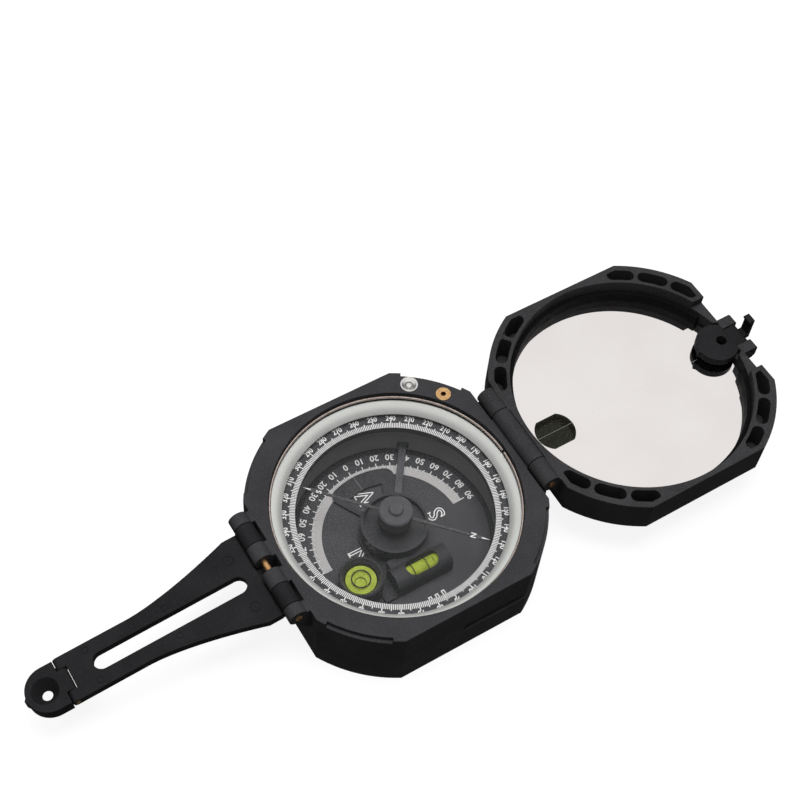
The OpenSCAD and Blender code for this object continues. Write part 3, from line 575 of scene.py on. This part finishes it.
# Two lines over the tube level, which mark where its bubble should stand
TUBE_LINES_AT = (-1.7, 2.4)
TUBE_LINE, TUBE_LINE_PROUD = 0.11, 0.02
TUBE_LINE_SPAN = (25, 155)
tube_axis = (low("tube_vial") + high("tube_vial")) / 2
tube_r = high("tube_vial").z - tube_axis.z
for number, y in enumerate(TUBE_LINES_AT):
    swept_arc(f"tube_line_{number}", "clinometer", "black_ink", "gloss_black",
              (tube_axis.x, y, tube_axis.z), tube_r + TUBE_LINE_PROUD, TUBE_LINE, *TUBE_LINE_SPAN, "XZ")

# Rim of the bubble in the round level, a little off its centre
BUBBLE_OFF = (-0.6, 0.5)
BUBBLE, BUBBLE_RIM, BUBBLE_SUNK = 1.55, 0.08, 0.05
bubble_at = (ROUND[0] + BUBBLE_OFF[0], ROUND[1] + BUBBLE_OFF[1], high("round_fluid").z - BUBBLE_SUNK)
swept_arc("round_bubble_rim", "clinometer", "vial_glass", "vial_glass",
          bubble_at, BUBBLE, BUBBLE_RIM, 0, 360, "XY")

# Sight line across the mirror and its window: ends along Y from the mirror's middle, and width
SIGHT_LINES = (
    ("mirror_sight_line", "faint_ink", "mirror", -24, 18.7, 0.05),
    ("window_sight_line", "window_ink", "black_plastic", 18.9, 30.1, 0.1),
)
LINE_RISE, LINE_THICKNESS = 0.004, 0.006
mirror_z = high("mirror").z + LINE_RISE
lid_y = (low("mirror").y + high("mirror").y) / 2
for name, ink, slot, start, end, width in SIGHT_LINES:
    line = Marks(name, "lid", ink, slot, LINE_THICKNESS)
    line.bar(0, lid_y + start, 0, lid_y + end, width, mirror_z)
    line.done()

# Table of figures on the outside of the lid: degrees and their cotangents, read from below
COLUMNS, ROWS = 5, 9
SIDE_MARGIN, HEAD_MARGIN, FOOT_MARGIN = 2, 8, 4
LABEL_FIGURE = 1.3
label_low, label_high = low("label_plate"), high("label_plate")
table_w = label_high.x - label_low.x - 2 * SIDE_MARGIN
table_h = label_high.y - label_low.y - HEAD_MARGIN - FOOT_MARGIN
label = Marks("label_figures", "lid", "label_ink", "black_plastic")
for column in range(COLUMNS):
    for row in range(ROWS):
        degree = 1 + column * ROWS + row
        x = label_low.x + SIDE_MARGIN + table_w * (column + 0.5) / COLUMNS
        y = label_high.y - HEAD_MARGIN - table_h * row / (ROWS - 1)
        words = f"{degree} {1 / math.tan(math.radians(degree)):.2f}"
        label.text(words, LABEL_FIGURE, -x, y, 180, label_low.z - 2 * RISE, bold=0.01, squeeze=0.8, up=-1)
label.done()


# ---------------------------------------------------------------- studio

REACH = 3.0  # metres from the middle of the floor to its edges
FLOOR_GLOW = 0.88
CORNERS = [(-REACH, -REACH, 0), (REACH, -REACH, 0), (REACH, REACH, 0), (-REACH, REACH, 0)]
floor_mesh = bpy.data.meshes.new("floor")
floor_mesh.from_pydata(CORNERS, [], [(0, 1, 2, 3)])
floor = put(bpy.data.objects.new("floor", floor_mesh))
floor.visible_diffuse = False  # the paper throws no light up onto the dark sides
floor.visible_glossy = False
paper = Surface("floor_paper", (0.1, 0.1, 0.1), 0.9, Specular_IOR_Level=0.0)
paper.color(paper.ramp(paper.noise(40, 2), [(0.3, 0.099), (0.7, 0.101)]))
paper.shader.inputs["Emission Color"].default_value = (1, 1, 1, 1)
paper.shader.inputs["Emission Strength"].default_value = FLOOR_GLOW
floor_mesh.materials.append(paper.material)

# The sky: sines of heights above the horizon with the glow there, and the tint of it all
SKY = ((0.0, 0.1), (0.4, 0.16), (0.72, 0.8), (0.9, 0.9))
SKY_TINT = (1.0, 0.985, 0.975)
world = bpy.data.worlds.new("studio")
world.use_nodes = True
bpy.context.scene.world = world
sky = world.node_tree
background = sky.nodes["Background"]
coords = sky.nodes.new("ShaderNodeTexCoord")
split = sky.nodes.new("ShaderNodeSeparateXYZ")
fade = sky.nodes.new("ShaderNodeValToRGB")
set_stops(fade, [(height, shade(SKY_TINT, glow)) for height, glow in SKY])
sky.links.new(coords.outputs["Generated"], split.inputs["Vector"])
sky.links.new(split.outputs["Z"], fade.inputs["Fac"])
sky.links.new(fade.outputs["Color"], background.inputs["Color"])
background.inputs["Strength"].default_value = 1.0


def soft_box(name, place, aim, size, power):
    """A rectangular lamp at `place` that shines towards `aim`, all in metres."""
    light = bpy.data.lights.new(name, "AREA")
    light.shape = "RECTANGLE"
    light.size, light.size_y = size
    light.energy = power
    box = put(bpy.data.objects.new(name, light))
    box.location = place
    box.rotation_euler = (Vector(aim) - Vector(place)).to_track_quat("-Z", "Y").to_euler()
    box.visible_glossy = False  # no glitter from the mirror and the glass


soft_box("overhead", place=(0.02, -0.04, 1.0), aim=(0.02, -0.04, 0), size=(0.5, 0.5), power=14.0)

# The camera looks down at 57 degrees, from the side of the tube level and the long sight
CAMERA = {
    "azimuth": 234.256,
    "elevation": 56.822,
    "roll": 5.447,
    "distance": 448.4,
    "aim": (37.98, -25.24, 0),
    "lens": 70.48,
}


def aim_camera(view):
    """A camera that looks at the view's aim from its azimuth and elevation, rolled about its own axis."""
    az, el, roll = (math.radians(view[key]) for key in ("azimuth", "elevation", "roll"))
    back = Vector((math.sin(az) * math.cos(el), -math.cos(az) * math.cos(el), math.sin(el)))
    right = Vector((math.cos(az), math.sin(az), 0))
    up = back.cross(right)
    rolled_right = right * math.cos(roll) + up * math.sin(roll)
    rolled_up = up * math.cos(roll) - right * math.sin(roll)
    axes = (rolled_right, rolled_up, back)
    turn = Matrix([[axes[col][row] for col in range(3)] for row in range(3)]).to_4x4()
    lens = bpy.data.cameras.new("camera")
    lens.lens = view["lens"]
    lens.sensor_width = 36
    lens.clip_start = 0.01
    lens.clip_end = 20
    camera = put(bpy.data.objects.new("camera", lens))
    camera.matrix_world = Matrix.Translation((Vector(view["aim"]) + back * view["distance"]) * MM) @ turn
    bpy.context.scene.camera = camera


aim_camera(CAMERA)
bpy.context.scene.view_settings.view_transform = "Standard"
